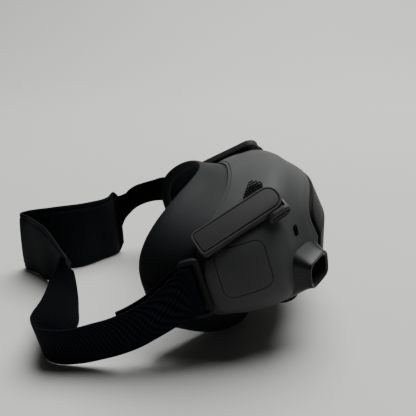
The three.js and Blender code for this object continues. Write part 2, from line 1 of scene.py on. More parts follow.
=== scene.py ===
import bpy
import bmesh
from math import copysign, cos, degrees, exp, floor, pi, radians, sin, tau
from mathutils import Matrix, Vector


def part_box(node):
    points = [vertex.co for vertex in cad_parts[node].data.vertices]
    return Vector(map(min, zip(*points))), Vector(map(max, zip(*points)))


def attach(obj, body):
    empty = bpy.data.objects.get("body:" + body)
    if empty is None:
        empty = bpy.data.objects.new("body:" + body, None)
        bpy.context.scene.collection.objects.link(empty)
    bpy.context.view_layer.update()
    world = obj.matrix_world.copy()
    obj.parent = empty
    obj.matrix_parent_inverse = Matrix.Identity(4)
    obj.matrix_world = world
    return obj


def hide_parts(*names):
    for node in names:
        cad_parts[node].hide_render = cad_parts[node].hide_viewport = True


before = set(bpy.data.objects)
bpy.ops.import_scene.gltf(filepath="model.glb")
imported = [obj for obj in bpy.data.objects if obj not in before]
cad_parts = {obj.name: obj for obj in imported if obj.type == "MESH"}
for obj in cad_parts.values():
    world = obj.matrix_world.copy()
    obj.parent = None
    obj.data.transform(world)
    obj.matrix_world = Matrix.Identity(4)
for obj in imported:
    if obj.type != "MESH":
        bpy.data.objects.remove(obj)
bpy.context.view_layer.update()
print("frame loaded:", len(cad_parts), "nodes")

# the goggles are worked out upright in millimetres, then tipped onto the cheeks of their mask
pitch = radians(17)
tipped = Matrix.Rotation(-pitch, 4, "X")
middleOfBarrels = (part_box("lens_barrel_right")[0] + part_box("lens_barrel_left")[1]) / 2
restAt = middleOfBarrels - tipped @ Vector((0, -0.029, -0.001))  # where the upright origin comes to rest
upright = Matrix.Translation(restAt) @ tipped @ Matrix.Scale(0.001, 4)
# the headband has its own numbers, level with the floor
laidOut = Matrix.Translation(restAt + Vector((0, 0.003, -0.046))) @ Matrix.Scale(0.001, 4)
sides = {"right": -1, "left": 1}


# materials
class Wire:  # a socket that can be summed and multiplied like a number
    def __init__(self, maker, socket):
        self.maker = maker
        self.socket = socket

    def maths(self, operation, *values):
        return self.maker.node("ShaderNodeMath", {"operation": operation}, dict(enumerate(values)))

    def __add__(self, other):
        return self.maths("ADD", self, other)

    def __radd__(self, other):
        return self.maths("ADD", other, self)

    def __mul__(self, other):
        return self.maths("MULTIPLY", self, other)

    def __rmul__(self, other):
        return self.maths("MULTIPLY", other, self)


class Maker:  # one material and the nodes it is made of
    def __init__(self, name):
        self.material = bpy.data.materials.new(name)
        self.material.use_nodes = True
        self.tree = self.material.node_tree
        self.shader = self.tree.nodes["Principled BSDF"]

    def node(self, kind, settings=None, inputs=None, output=0):
        made = self.tree.nodes.new(kind)
        for key, value in (settings or {}).items():
            if key == "stops":
                for element, (place, grey) in zip(made.color_ramp.elements, value):
                    element.position = place
                    element.color = (grey, grey, grey, 1)
            else:
                setattr(made, key, value)
        for key, value in (inputs or {}).items():
            if isinstance(value, Wire):
                self.tree.links.new(value.socket, made.inputs[key])
            else:
                made.inputs[key].default_value = value
        return Wire(self, made.outputs[output])

    def place(self, scale=1.0):
        where = self.node("ShaderNodeTexCoord", output="Object")
        size = scale if isinstance(scale, (tuple, list)) else (scale,) * 3
        return self.node("ShaderNodeMapping", {}, {"Vector": where, "Scale": size})

    def noise(self, scale, detail=3.0, roughness=0.55, where=None):
        return self.node("ShaderNodeTexNoise", {}, {
            "Vector": where or self.place(), "Scale": scale, "Detail": detail, "Roughness": roughness})

    def blend(self, factor, first, second):
        return self.node("ShaderNodeMix", {"data_type": "RGBA"}, {0: factor, 6: first, 7: second}, output=2)

    def bump(self, height, distance, strength=1.0):
        return self.node("ShaderNodeBump", {}, {"Height": height, "Distance": distance, "Strength": strength})

    def finish(self, inputs):
        for key, value in inputs.items():
            if isinstance(value, Wire):
                self.tree.links.new(value.socket, self.shader.inputs[key])
            else:
                self.shader.inputs[key].default_value = value
        return self.material


def shade(grey, tint=(1.0, 1.0, 1.0)):
    return (grey * tint[0], grey * tint[1], grey * tint[2], 1)


plastics = {  # grey, tint, roughness, grain size and depth in mm, share of colour change, specular level
    "shell": (0.045, (0.97, 1.0, 1.01), 0.52, 0.28, 0.012, 0.10, 0.11),
    "frame": (0.026, (0.97, 1.0, 1.03), 0.55, 0.30, 0.012, 0.12, 0.18),
    "antenna": (0.033, (1.0, 1.0, 0.99), 0.55, 0.26, 0.012, 0.10, 0.16),
    "trim": (0.0060, (0.92, 1.0, 1.10), 0.55, 0.35, 0.015, 0.20, 0.12),
    "nozzle": (0.007, (0.90, 1.0, 1.12), 0.38, 0.35, 0.012, 0.15, 0.22),
    "mesh": (0.0030, (0.95, 1.0, 1.05), 0.60, 0.30, 0.010, 0.20, 0.06),
    "board": (0.030, (0.35, 1.5, 0.75), 0.45, 0.60, 0.020, 0.30, 0.50),
}


def plastic(name):
    grey, tint, roughness, grain, depth, change, specular = plastics[name]
    maker = Maker(name + "Plastic")
    fine = maker.noise(1000 / grain, 2.0)
    broad = maker.noise(38, 3.0)
    colour = maker.blend(broad, shade(grey * (1 - change), tint), shade(grey * (1 + change), tint))
    return maker.finish({
        "Base Color": colour,
        "Roughness": roughness - 0.05 + 0.1 * maker.noise(90, 4.0),
        "Specular IOR Level": specular,
        "Normal": maker.bump(fine, depth / 1000, 0.6)})


def glossPlastic():
    maker = Maker("glossPlastic")
    smear = maker.noise(26, 4.0, 0.6)
    dust = maker.noise(2400, 1.0)
    return maker.finish({
        "Base Color": maker.blend(dust, shade(0.006), shade(0.010)),
        "Roughness": 0.34 + 0.12 * smear,
        "Specular IOR Level": 0.015})


def maskSkin():
    maker = Maker("maskSkin")
    cells = maker.node("ShaderNodeTexVoronoi", {}, {"Vector": maker.place(), "Scale": 1900})
    soft = maker.noise(700, 3.0)
    broad = maker.noise(30, 3.0)
    skin = maker.blend(broad, shade(0.0045, (0.86, 1, 1.14)), shade(0.0075, (0.88, 1, 1.12)))
    where = maker.node("ShaderNodeTexCoord", output="UV")
    split = maker.node("ShaderNodeSeparateXYZ", {}, {"Vector": where}, output=1)
    # the lining, the far half of the UV, is painted much lighter and bluer than the skin: painted fill light
    # standing in for bounce light that never reaches inside the mask
    inside = maker.node("ShaderNodeValToRGB", {"stops": ((0.47, 0.0), (0.53, 1.0))}, {"Fac": split})
    return maker.finish({
        "Base Color": maker.blend(inside, skin, shade(0.040, (0.80, 1, 1.30))),
        "Roughness": 0.46 + 0.12 * soft,
        "Specular IOR Level": 0.07,
        "Sheen Weight": 0.02,
        "Sheen Roughness": 0.45,
        "Normal": maker.bump(cells * 0.6 + soft * 0.8, 0.00006, 0.7)})


weave = {"pitch": 1.9, "depth": 0.0003}


def webbing(side, length, width):  # woven yarns outside; inside, a plain smooth face painted darker as painted shade
    maker = Maker(side + "Webbing")
    where = maker.node("ShaderNodeTexCoord", output="UV")
    split = maker.node("ShaderNodeSeparateXYZ", {}, {"Vector": where})
    along = Wire(maker, split.socket.node.outputs[1])
    rib = along * (tau * round(length / weave["pitch"]))
    row = split * (tau * round(width / weave["pitch"]))
    warp = rib.maths("SINE", rib + row * 0.5)
    weft = row.maths("SINE", row)
    knot = (warp * weft).maths("MULTIPLY_ADD", warp * weft, 0.5, 0.5)
    fuzz = maker.noise(2600, 3.0)
    height = knot * 0.8 + fuzz * 0.25
    yarn = maker.node("ShaderNodeValToRGB", {"stops": ((0.25, 0.0012), (0.85, 0.013))}, {"Fac": height})
    cool = maker.node("ShaderNodeMix", {"data_type": "RGBA", "blend_type": "MULTIPLY"},
                      {0: 1.0, 6: yarn, 7: (0.86, 0.95, 1.40, 1)}, output=2)
    # the inner face is smooth, and its plain colour is painted far darker than the yarns: painted shade for
    # the shade that face sits in
    inner = split.maths("LESS_THAN" if side == "right" else "GREATER_THAN", split, 0.5)
    plainFaceWithPaintedShade = maker.blend(fuzz, shade(0.0014, (0.86, 0.95, 1.40)), shade(0.0026, (0.86, 0.95, 1.40)))
    return maker.finish({
        "Base Color": maker.blend(inner, cool, plainFaceWithPaintedShade),
        "Roughness": 0.80 + 0.1 * fuzz,
        "Specular IOR Level": 0.03,
        "Normal": maker.bump(height, weave["depth"], 0.9)})


def padFabric():
    maker = Maker("padFabric")
    knit = maker.node("ShaderNodeTexWave", {"wave_type": "BANDS", "bands_direction": "Z"}, {
        "Vector": maker.place(), "Scale": 420.0, "Distortion": 2.5, "Detail": 2.0, "Detail Scale": 3.0})
    fuzz = maker.noise(1500, 4.0)
    broad = maker.noise(26, 3.0)
    dark, light = shade(0.0042, (0.80, 0.97, 1.36)), shade(0.0080, (0.84, 0.97, 1.30))
    return maker.finish({
        "Base Color": maker.blend(broad * 0.6 + fuzz * 0.4, dark, light),
        "Roughness": 0.74 + 0.12 * fuzz,
        "Specular IOR Level": 0.08,
        "Sheen Weight": 0.03,
        "Sheen Roughness": 0.5,
        "Normal": maker.bump(knit * 0.4 + fuzz * 0.6, 0.00008, 0.6)})


def metal(name, grey, roughness, direction):
    maker = Maker(name + "Metal")
    streaks = maker.noise(220, 4.0, 0.6, where=maker.place(direction))
    return maker.finish({
        "Base Color": maker.blend(streaks, shade(grey * 0.85), shade(grey * 1.1)),
        "Metallic": 1.0,
        "Roughness": roughness - 0.08 + 0.16 * streaks,
        "Normal": maker.bump(streaks, 0.00001, 0.4)})


def lensGlass():
    maker = Maker("lensGlass")
    smear = maker.noise(60, 3.0)
    return maker.finish({
        "Base Color": maker.blend(smear, (0.012, 0.010, 0.030, 1), (0.020, 0.026, 0.050, 1)),
        "Roughness": 0.02 + 0.04 * smear,
        "Coat Weight": 1.0,
        "Coat Roughness": 0.02,
        "IOR": 1.6})


finishes = {name: plastic(name) for name in plastics}
finishes["gloss"] = glossPlastic()
finishes["mask"] = maskSkin()
finishes["pad"] = padFabric()
finishes["steel"] = metal("steel", 0.55, 0.32, (1.0, 12.0, 12.0))
finishes["alloy"] = metal("alloy", 0.50, 0.38, (12.0, 12.0, 1.0))
finishes["lens"] = lensGlass()
finishes["screen"] = finishes["gloss"]
finishes["pin"] = metal("pin", 0.045, 0.42, (12.0, 1.0, 12.0))
print("materials made:", len(finishes))


# mesh helpers, all in millimetres
def wrapped(across, along, place, loose=False):  # a grid bent round, its meeting edges merged
    bm = bmesh.new()
    bm.loops.layers.uv.new("UVMap")
    bmesh.ops.create_grid(bm, x_segments=across, y_segments=along, size=1, calc_uvs=True)
    for vert in bm.verts:
        vert.co = place((vert.co.x + 1) / 2, (vert.co.y + 1) / 2)
    bmesh.ops.remove_doubles(bm, verts=bm.verts, dist=1e-4)
    if not loose:
        bmesh.ops.holes_fill(bm, edges=bm.edges, sides=0)
    return bm


def placed(bm, name, matrix=upright, sharp=32):
    bmesh.ops.transform(bm, matrix=matrix, verts=bm.verts)
    bmesh.ops.recalc_face_normals(bm, faces=bm.faces)
    mesh = bpy.data.meshes.new(name)
    bm.to_mesh(mesh)
    bm.free()
    mesh.shade_smooth()
    mesh.set_sharp_from_angle(angle=radians(sharp))
    piece = bpy.data.objects.new(name, mesh)
    bpy.context.scene.collection.objects.link(piece)
    return piece


def declared(piece, finish, body, nodes):
    if not piece.data.materials:
        piece.data.materials.append(finishes[finish] if isinstance(finish, str) else finish)
    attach(piece, body)
    if nodes:
        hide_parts(*nodes)
    return piece


def settled(piece, sharp=32):  # the modifiers made part of the mesh
    graph = bpy.context.evaluated_depsgraph_get()
    mesh = bpy.data.meshes.new_from_object(piece.evaluated_get(graph))
    piece.modifiers.clear()
    piece.data = mesh
    mesh.shade_smooth()
    mesh.set_sharp_from_angle(angle=radians(sharp))
    return piece


def carved(piece, cutters, operation="DIFFERENCE", sharp=32):
    for cutter in cutters:
        cut = piece.modifiers.new("cut", "BOOLEAN")
        cut.operation = operation
        cut.solver = "EXACT"
        cut.object = cutter
    settled(piece, sharp)
    for cutter in cutters:
        bpy.data.objects.remove(cutter)
    return piece


def frameAt(at, out, up):  # a frame whose Z points out and whose Y points as near up as it can
    z = Vector(out).normalized()
    x = Vector(up).cross(z).normalized()
    y = z.cross(x)
    return Matrix.Translation(at) @ Matrix((x, y, z)).transposed().to_4x4()


def mirrored(matrix, side):
    return matrix if side < 0 else Matrix.Scale(-1, 4, (1, 0, 0)) @ matrix


def slab(wide, tall, r, bottom, top, rim=0.0, hole=0.0, steps=8, far=None):
    bm = bmesh.new()
    bmesh.ops.create_grid(bm, x_segments=1, y_segments=1, size=0.5)
    bmesh.ops.scale(bm, vec=(wide, tall, 1), verts=bm.verts)
    bmesh.ops.translate(bm, vec=(0, 0, bottom), verts=bm.verts)
    near = [vert for vert in bm.verts if vert.co.y < 0 or far is None]
    rest = [vert for vert in bm.verts if vert not in near]
    bmesh.ops.bevel(bm, geom=near, offset=r, segments=steps, profile=0.5, affect="VERTICES", material=-1)
    if rest:
        bmesh.ops.bevel(bm, geom=rest, offset=far, segments=steps, profile=0.5, affect="VERTICES",
                        material=-1)
    if hole:
        bmesh.ops.inset_region(bm, faces=bm.faces[:], thickness=hole, use_boundary=True)
        middle = max(bm.faces, key=lambda face: len(face.verts))
        bmesh.ops.delete(bm, geom=[middle], context="FACES_ONLY")
    grown = bmesh.ops.extrude_face_region(bm, geom=bm.faces[:])["geom"]
    raised = [part for part in grown if isinstance(part, bmesh.types.BMVert)]
    bmesh.ops.translate(bm, vec=(0, 0, top - bottom), verts=raised)
    if rim:
        rims = [edge for edge in bm.edges
                if abs(edge.verts[0].co.z - edge.verts[1].co.z) < 1e-5 and len(edge.link_faces) == 2
                and abs(edge.link_faces[0].normal.dot(edge.link_faces[1].normal)) < 0.5]
        bmesh.ops.recalc_face_normals(bm, faces=bm.faces)
        bmesh.ops.bevel(bm, geom=rims, offset=rim, segments=3, profile=0.5, affect="EDGES", material=-1)
    return bm


def drum(r, start, end, at, axis, segments=48):
    bm = bmesh.new()
    bmesh.ops.create_cone(bm, cap_ends=True, segments=segments, radius1=r, radius2=r, depth=end - start)
    bmesh.ops.translate(bm, vec=(0, 0, (start + end) / 2), verts=bm.verts)
    turn = Vector((0, 0, 1)).rotation_difference(Vector(axis)).to_matrix().to_4x4()
    bmesh.ops.transform(bm, matrix=Matrix.Translation(at) @ turn, verts=bm.verts)
    return bm


def turned(profile, at):  # a closed outline of (radius, y) spun about the optical axis
    bm = bmesh.new()
    corners = [bm.verts.new((r, y, 0)) for r, y in profile]
    edges = [bm.edges.new((corners[i], corners[i - 1])) for i in range(len(corners))]
    bmesh.ops.spin(bm, geom=corners + edges, cent=(0, 0, 0), axis=(0, 1, 0), angle=tau, steps=72,
                   use_merge=True)
    bmesh.ops.remove_doubles(bm, verts=bm.verts, dist=1e-4)
    bmesh.ops.translate(bm, vec=at, verts=bm.verts)
    return bm


# the sections of the shells
plain = {"bend": 0.0, "n": 3.0, "up": None, "notch": 0.0, "curl": 2.0, "lean": 0.0, "droop": 0.0}
slope = {"crease": -5, "above": 0.15, "below": 0.27}


def sections(rows):
    filled = [{**plain, **row} for row in rows]
    return [{**row, "up": row["n"] if row["up"] is None else row["up"]} for row in filled]


shell = {
    "wall": 2.0,
    "outside": sections([
        {"y": -21, "bend": 24.2, "w": 76.3, "top": 31.8, "low": 34.5, "n": 3, "up": 2.35, "notch": 14,
         "curl": 2.4},
        {"y": -27, "bend": 18, "w": 77.4, "top": 32.6, "low": 36, "n": 3, "up": 2.45, "notch": 10},
        {"y": -36, "bend": 15, "w": 76.5, "top": 33, "low": 36.5, "n": 2.9, "up": 2.55, "notch": 3},
        {"y": -45, "bend": 15, "w": 72, "top": 31.8, "low": 36, "n": 2.8, "up": 2.7},
        {"y": -52, "bend": 18, "w": 65, "top": 28.4, "low": 35, "n": 2.7, "lean": 0.1},
        {"y": -56.5, "bend": 21, "w": 58.5, "top": 24.6, "low": 33.5, "n": 2.7, "lean": 0.3},
        {"y": -60.5, "bend": 24, "w": 53.5, "top": 21.6, "low": 31.5, "n": 2.8, "lean": 0.6}]),
}
bezel = {
    "outside": sections([
        {"y": -60.53, "bend": 24, "w": 53.5, "top": 21.6, "low": 31.5, "n": 2.8, "lean": 0.6},
        {"y": -63.8, "bend": 26.5, "w": 49.6, "top": 18.8, "low": 29.5, "n": 3, "lean": 0.8},
        {"y": -65.8, "bend": 28.5, "w": 46.8, "top": 16.8, "low": 28, "n": 3.2, "lean": 1}]),
}
plate = sections([{"y": -65.8, "bend": 28.5, "w": 43.7, "top": 14, "low": 25.4, "n": 3.2, "lean": 1}])[0]
rim = sections([
    {"y": -20.7, "bend": 24.4, "w": 75.2, "top": 31.6, "low": 34.8, "n": 3, "up": 2.35, "notch": 14,
     "curl": 2.4},
    {"y": -18.9, "bend": 30, "w": 74.6, "top": 31.4, "low": 35, "n": 3, "up": 2.35, "notch": 15,
     "curl": 2.5}])
maskSkinRows = sections([
    {"y": -18.5, "bend": 30, "w": 73.2, "top": 30.6, "low": 36, "n": 2.8, "up": 2.35, "notch": 16,
     "curl": 2.5},
    {"y": -15.5, "bend": 33, "w": 72.8, "top": 32.6, "low": 44, "n": 2.5, "up": 2.4, "notch": 18,
     "droop": 1, "curl": 2.3},
    {"y": -11, "bend": 39.5, "w": 71.2, "top": 35, "low": 53.2, "n": 2.4, "up": 2.6, "notch": 25, "droop": 2},
    {"y": -6, "bend": 49, "w": 68, "top": 38.4, "low": 48.5, "n": 2.4, "up": 2.7, "notch": 27, "droop": 4},
    {"y": -3.6, "bend": 57, "w": 64, "top": 39.2, "low": 45, "n": 2.5, "up": 2.8, "notch": 28, "droop": 5},
    {"y": -4.4, "bend": 57, "w": 61, "top": 34.8, "low": 42, "n": 2.5, "up": 2.8, "notch": 28, "droop": 5}])


def inset(row, wall, forward=0.0):
    return {**row, "w": row["w"] - wall, "top": row["top"] - wall, "low": row["low"] - wall,
            "y": row["y"] + forward}


def between(rows, t):  # a smooth curve through every number of the sections
    i = min(floor(t), len(rows) - 1)
    f = t - i
    a, b, c, d = (rows[min(max(i + k, 0), len(rows) - 1)] for k in (-1, 0, 1, 2))
    weights = ((-f + 2 * f * f - f ** 3) / 2, 1 - 2.5 * f * f + 1.5 * f ** 3,
               (f + 4 * f * f - 3 * f ** 3) / 2, (f ** 3 - f * f) / 2)
    return {key: sum(k * row[key] for k, row in zip(weights, (a, b, c, d))) for key in b}


def onSection(row, u, size=1.0):
    angle = tau * u
    across, rise = -sin(angle), cos(angle)
    n = row["up"] if rise > 0 else row["n"]
    reach = size * (abs(across) ** n + abs(rise) ** n) ** (-1 / n)
    x = row["w"] * across * reach
    c = rise * reach
    arch = row["notch"] * size * exp(-((x / 15) ** 2)) * min(1, -4 * c) if c < 0 else 0
    z = (row["top"] if c > 0 else row["low"]) * c + arch
    climb = z - slope["crease"]
    lean = row["lean"] * (slope["above"] * climb if climb > 0 else -slope["below"] * climb)
    fall = min(max(-z / 15, 0), 1)
    droop = row["droop"] * fall * fall * (3 - 2 * fall) * (x / 60) ** 2
    return Vector((x, row["y"] + row["bend"] * abs(x / 76) ** row["curl"] + lean + droop, z))


def walled(outside, inside, around=192, fine=8):  # a shell from its outer sections and its inner ones
    out, back = (len(outside) - 1) * fine, (len(inside) - 1) * fine
    total = out + back + 2
    def place(u, v):
        step = round(v * total)
        if step <= out:
            return onSection(between(outside, step / fine), u)
        if step == total:
            return onSection(outside[0], u)
        return onSection(between(inside, (total - 1 - step) / fine), u)
    return wrapped(around, total, place)


def layer(grow, shrink):  # the housing's wall between two depths
    return walled([inset(row, -grow) for row in shell["outside"]],
                  [inset(row, shrink) for row in shell["outside"]], fine=6)


# antennas
antenna = {"pivot": (59.5, -40.6, 28.6), "along": (0.28, 0.94, -0.2), "out": (0.68, -0.03, 0.73),
           "length": 45.5, "width": 13.8, "thick": 4.6, "corner": 6.2, "heel": 3.0,
           "knuckle": 4.2, "knuckleLength": 2.4, "back": 2.4}


def antennaFrame():
    px, py, pz = antenna["pivot"]
    ox, oy, oz = antenna["out"]
    ax, ay, az = antenna["along"]
    return frameAt((-px, py, pz), (-ox, oy, oz), (-ax, ay, az))


def antennaSlab(grow, bottom, top, rim=0.0):
    half = antenna["thick"] / 2
    bm = slab(antenna["width"] + grow, antenna["length"] + half + grow,
              antenna["corner"] + grow / 2, bottom, top, rim, far=antenna["heel"] + grow / 2)
    bmesh.ops.translate(bm, vec=(0, antenna["length"] / 2, 0), verts=bm.verts)
    return bm


def buildAntenna(side, sign):
    where = upright @ mirrored(antennaFrame(), sign)
    half, width = antenna["thick"] / 2, antenna["width"]
    body = "antenna_" + side
    bm = antennaSlab(0, -half, half)
    face = max((f for f in bm.faces if f.normal.z > 0.5), key=lambda f: f.calc_area())
    bmesh.ops.inset_region(bm, faces=[face], thickness=1.35)
    bmesh.ops.inset_region(bm, faces=[face], thickness=0.02, depth=-0.55)
    bmesh.ops.recalc_face_normals(bm, faces=bm.faces)
    rims = [edge for edge in bm.edges
            if edge.calc_face_angle(0) > 1.2 and abs(edge.verts[0].co.z) > half - 0.01]
    bmesh.ops.bevel(bm, geom=rims, offset=0.45, segments=3, profile=0.5, affect="EDGES", material=-1)
    declared(placed(bm, "antennaBlade_" + side, where), "antenna", body, ["antenna_" + side])
    bm = antennaSlab(-3.2, half - 0.4, half + 0.3, 0.25)
    declared(placed(bm, "antennaCover_" + side, where), "antenna", body, ["antenna_cover_" + side])
    r, long = antenna["knuckle"], antenna["knuckleLength"]
    bm = slab(2 * r, 3 * r, r - 0.01, -width / 2 - 0.4 - long, -width / 2 - 0.4, 0.6, steps=14)
    cheek = min((f for f in bm.faces if len(f.verts) > 8), key=lambda f: f.calc_center_median().z)
    bmesh.ops.inset_region(bm, faces=[cheek], thickness=0.7)
    bmesh.ops.inset_region(bm, faces=[cheek], thickness=0.25, depth=-0.4)
    turn = Matrix(((0, 0, 1), (0, 1, 0), (-1, 0, 0))).to_4x4()
    bmesh.ops.transform(bm, matrix=Matrix.Translation((0, antenna["back"] + r / 2, -1.5)) @ turn,
                        verts=bm.verts)
    declared(placed(bm, "antennaKnuckle_" + side, where), "frame", "goggles", ["antenna_knuckle_" + side])
    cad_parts["antenna_pin_" + side].data.materials.clear()
    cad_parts["antenna_pin_" + side].data.materials.append(finishes["pin"])


for side, sign in sides.items():
    buildAntenna(side, sign)
print("antennas made")


# main housing
touch = {"y": -15.6, "z": 2.3, "wide": 24.5, "tall": 24, "r": 4.5}
outlet = {"base": (51.5, -42, -14.4), "aim": (0.62, -0.76, -0.17), "wide": 19, "tall": 15.5, "length": 12.5,
          "flare": 16, "wall": 1.8, "square": 4.2}
vent = {"at": (46.5, -30, 30), "along": (0.83, 0.43, -0.37), "long": 15, "wide": 8, "cell": 1.45}
knob = {"x": 32, "y": -31, "r": 7.5, "top": -37.6, "bottom": -41.8, "stem": 2.2, "ribs": 36}


def touchSlab(grow):
    return placed(slab(touch["wide"] + grow, touch["tall"] + grow, touch["r"] + grow / 2, -9, 5), "touchSlab",
                  frameAt((-77, touch["y"], touch["z"]), (-1, 0, 0), (0, 0, 1)))


def outletFrame():
    (x, y, z), (ax, ay, az) = outlet["base"], outlet["aim"]
    return frameAt((-x, y, z), (-ax, ay, az), (0, 0, 1))


def ventFrame():
    (x, y, z), (ax, ay, az) = vent["at"], vent["along"]
    return frameAt((-x, y, z), (-0.5, -0.12, 0.86), (-ax, ay, az))


def buildHousing():
    still = Matrix()
    seats = []
    for sign in sides.values():
        seats.append(placed(antennaSlab(0.8, -8, 12), "seat", mirrored(antennaFrame(), sign)))
    skins = []
    for patch in seats + [touchSlab(0.7)]:
        skins.append(carved(placed(layer(1.2, 1.05), "skin", still), [patch], "INTERSECT"))
    cutters = []
    for sign in sides.values():
        mouth = slab(outlet["wide"] - 5, outlet["tall"] - 5, 4, -6, 14)
        cutters.append(placed(mouth, "mouth", mirrored(outletFrame(), sign)))
        hole = slab(vent["wide"], vent["long"], 3, -7, 7)
        cutters.append(placed(hole, "ventHole", mirrored(ventFrame(), sign)))
        reach = 4 + knob["stem"] + 0.7  # the slide's travel, the stem and some room
        under = Matrix.Translation((sign * knob["x"], knob["y"], 0))
        cutters.append(placed(slab(2 * reach, 5.8, 2.88, -42, -28), "knobSlot", under))
    cutters.append(placed(slab(10.4, 4.6, 1.2, -6, 4), "port", frameAt((76, -12, -9), (1, 0, 0), (0, 0, 1))))
    cutters.append(placed(drum(3.1, -6, 4, (76, -22, 3), (1, 0, 0)), "jackHole", still))
    cutters.append(placed(drum(3.4, -42, -28, (0, -46, 0), (0, 0, 1)), "buttonHole", still))
    cutters.append(placed(slab(2.4, 5.6, 1.1, -6, 6), "slit",
                          frameAt((-54, -45.2, 6.5), (-1, 0, 0), (0, 0, 1))))
    inside = [inset(row, shell["wall"]) for row in shell["outside"]]
    piece = carved(placed(walled(shell["outside"], inside, 224), "housing", still), skins + cutters)
    piece.data.transform(upright)
    return declared(piece, "shell", "goggles", ["main_housing"])


housing = buildHousing()
print("housing made:", len(housing.data.polygons), "faces")


def buildTouchPanel():
    piece = carved(placed(layer(0.0, 0.7), "touchPanel", Matrix()), [touchSlab(0.0)], "INTERSECT")
    piece.data.transform(upright)
    return declared(piece, "shell", "goggles", ["touch_panel"])


buildTouchPanel()


# bezel, front window and mask frame
def buildBezel():
    last = bezel["outside"][-1]
    lip = [inset(last, 0.5, -0.35), inset(last, 2.0, -0.45), inset(last, 2.7, -0.1)]
    behind = [inset(bezel["outside"][1], 3.0), inset(bezel["outside"][0], 2.0)]
    piece = placed(walled(bezel["outside"] + lip, behind[::-1], 224, 6), "frontBezel")
    return declared(piece, "shell", "goggles", ["front_bezel"])


def buildWindow():
    front = inset(plate, 0.9, -1.8)
    rings = [(plate, k / 12) for k in range(1, 13)]
    rings += [(inset(plate, 0.0, -1.1), 1.0), (inset(plate, 0.25, -1.55), 1.0), (front, 1.0)]
    rings += [(front, k / 14) for k in range(13, 0, -1)]
    def place(u, v):
        row, size = rings[round(v * (len(rings) - 1))]
        return onSection(row, u, size)
    piece = placed(wrapped(160, len(rings) - 1, place), "frontWindow")
    return declared(piece, "gloss", "goggles", ["front_plate"])


def buildMaskFrame():
    inside = [inset(row, 3.6) for row in rim]
    piece = placed(walled(rim, inside, 192, 3), "maskFrame")
    return declared(piece, "frame", "goggles", ["mask_frame"])


buildBezel()
buildWindow()
buildMaskFrame()
print("front made")


# face mask
def buildMask():
    lining = [inset(maskSkinRows[4], 5, -1.6), inset(maskSkinRows[3], 4.8, -1),
              inset(maskSkinRows[2], 4, 0.3), inset(maskSkinRows[1], 4, 0.3), inset(maskSkinRows[0], 4)]
    rows = maskSkinRows + lining
    total = 8 * len(rows)
    def place(u, v):
        t = v * len(rows)
        if t > len(rows) - 1:  # the flat end that sits in the frame
            low, high = onSection(rows[-1], u), onSection(rows[0], u)
            return low.lerp(high, t - (len(rows) - 1))
        return onSection(between(rows, t), u)
    piece = placed(wrapped(192, total, place), "faceMask", sharp=50)
    declared(piece, "mask", "goggles", ["face_mask"])


flap = {"wide": 24, "front": -22, "long": 10, "top": -10, "fall": 0.055, "rise": 1.6, "thick": 1.0}


def buildNoseFlap():
    def place(u, v):
        x = flap["wide"] * (u - 0.5)
        return Vector((x, flap["front"] + flap["long"] * v,
                       flap["top"] - flap["fall"] * x ** 2 + flap["rise"] * v))
    bm = wrapped(24, 10, place, True)
    bmesh.ops.solidify(bm, geom=bm.faces[:], thickness=flap["thick"])
    declared(placed(bm, "noseFlap"), "mask", "goggles", ["nose_flap"])


buildMask()
buildNoseFlap()


# outlets and vents
def lattice(wide, tall, cell, bar, thick):  # crossed bars at 45 degrees
    bm = bmesh.new()
    count = int((wide + tall) / cell)
    bmesh.ops.create_grid(bm, x_segments=count, y_segments=count, size=count * cell / 2)
    bmesh.ops.rotate(bm, cent=(0, 0, 0), matrix=Matrix.Rotation(pi / 4, 3, "Z"), verts=bm.verts)
    middles = {f: f.calc_center_median() for f in bm.faces}
    far = [f for f, middle in middles.items()
           if abs(middle.x) > wide / 2 + cell or abs(middle.y) > tall / 2 + cell]
    bmesh.ops.delete(bm, geom=far, context="FACES")
    cells = bm.faces[:]
    bmesh.ops.inset_individual(bm, faces=cells, thickness=bar / 2)
    bmesh.ops.delete(bm, geom=cells, context="FACES")
    grown = bmesh.ops.extrude_face_region(bm, geom=bm.faces[:])["geom"]
    bmesh.ops.translate(bm, vec=(0, 0, thick), verts=[g for g in grown if isinstance(g, bmesh.types.BMVert)])
    return bm


def buildOutlet(side, sign):
    where = mirrored(outletFrame(), sign)
    wide, tall, long, wall = (outlet[k] for k in ("wide", "tall", "length", "wall"))
    steps = [(outlet["flare"] * (1 - t) ** 1.5, long * t - 3 * (1 - t) ** 3)
             for t in [k / 14 for k in range(15)]]
    steps += [(-0.5, long + 0.25), (-wall, long + 0.1), (-2 * wall + 0.2, long - 0.5),
              (-2 * wall - 0.2, long - 5), (-2 * wall - 2, long - 5.4)]
    def place(u, v):
        grow, z = steps[round(v * (len(steps) - 1))]
        n = outlet["square"]
        c, s = cos(tau * u), sin(tau * u)
        reach = (abs(c) ** n + abs(s) ** n) ** (-1 / n)
        return Vector(((wide + grow) / 2 * c * reach, (tall + 1.2 * grow) / 2 * s * reach, z))
    piece = placed(wrapped(96, len(steps) - 1, place), "outletShell_" + side, upright @ where, 40)
    declared(piece, "nozzle", "goggles", ["outlet_shell_" + side])
    mesh = placed(lattice(wide - 3, tall - 3, 1.7, 0.55, 0.8), "outletMesh_" + side, where)
    edge = placed(slab(wide - 4.4, tall - 4.4, 3.2, -2, 3), "edge", where)
    for part in (mesh, edge):
        part.data.transform(where.inverted())
        part.data.transform(where @ Matrix.Translation((0, 0, long - 4.6)))
    carved(mesh, [edge], "INTERSECT")
    mesh.data.transform(upright)
    declared(mesh, "mesh", "goggles", ["outlet_mesh_" + side])


